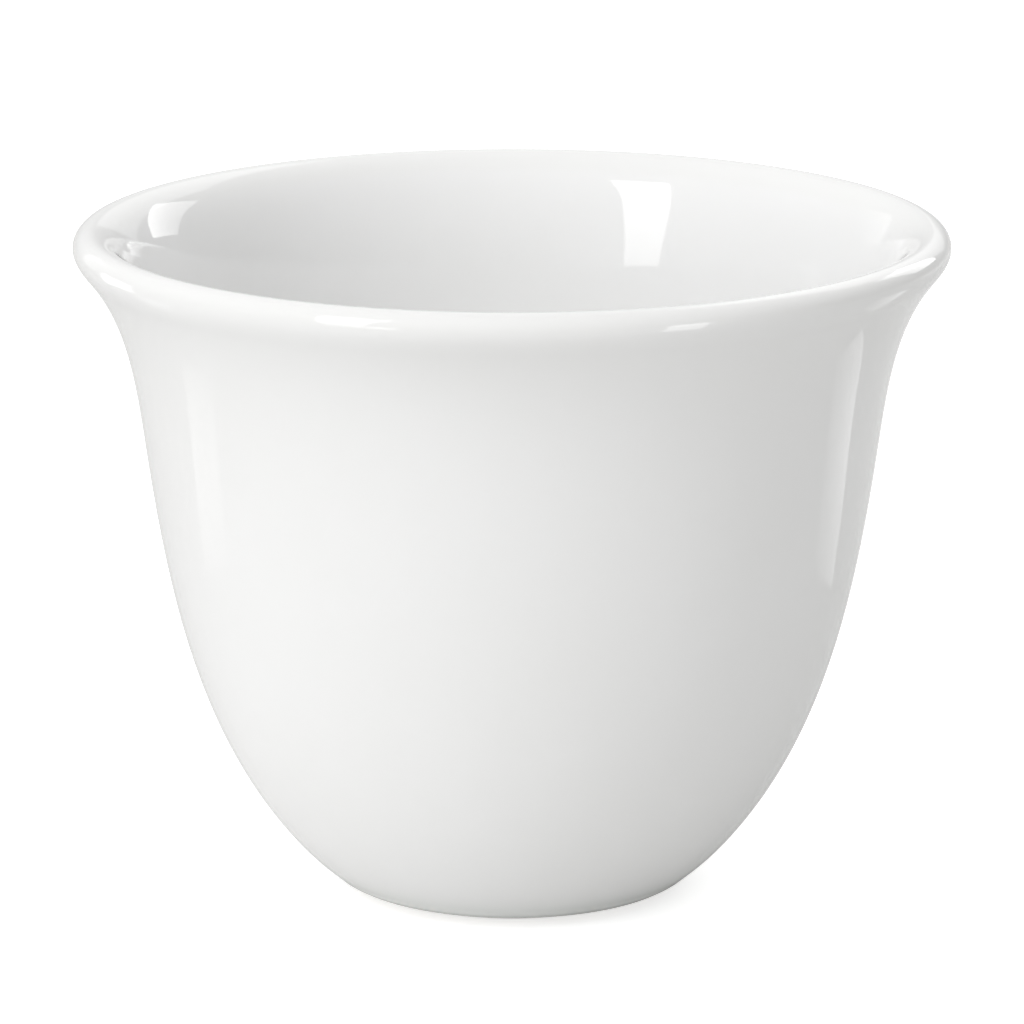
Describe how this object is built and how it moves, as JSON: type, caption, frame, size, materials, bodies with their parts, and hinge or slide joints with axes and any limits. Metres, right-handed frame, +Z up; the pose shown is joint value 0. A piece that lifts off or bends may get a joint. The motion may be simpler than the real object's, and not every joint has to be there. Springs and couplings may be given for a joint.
{
  "type": "coffee cup",
  "caption": "Handle-less Arabic coffee cup of white glazed porcelain, with a flared wall, a full-round lip, a rounded belly and a small bare foot ring to stand on.",
  "frame": {"origin": "on the table, at the middle of the foot ring", "axes": "+Z up along the cup's axis of revolution, +X and +Y level, in no special direction on a round cup"},
  "size_m": [0.066, 0.066, 0.0511],
  "materials": {
    "bare_porcelain": "vitrified porcelain, bare and ground smooth where it shows on the foot ring",
    "outside_glaze": "gloss clear glaze over white porcelain, dipped",
    "inside_glaze": "gloss clear glaze over white porcelain, poured as a lining",
    "underside_glaze": "gloss clear glaze over white porcelain, brushed into the recess of the foot"
  },
  "bodies": {
    "root": {"porcelain_body": "bare_porcelain", "outside_glaze": "outside_glaze", "inside_glaze": "inside_glaze", "underside_glaze": "underside_glaze"}
  },
  "joints": []
}
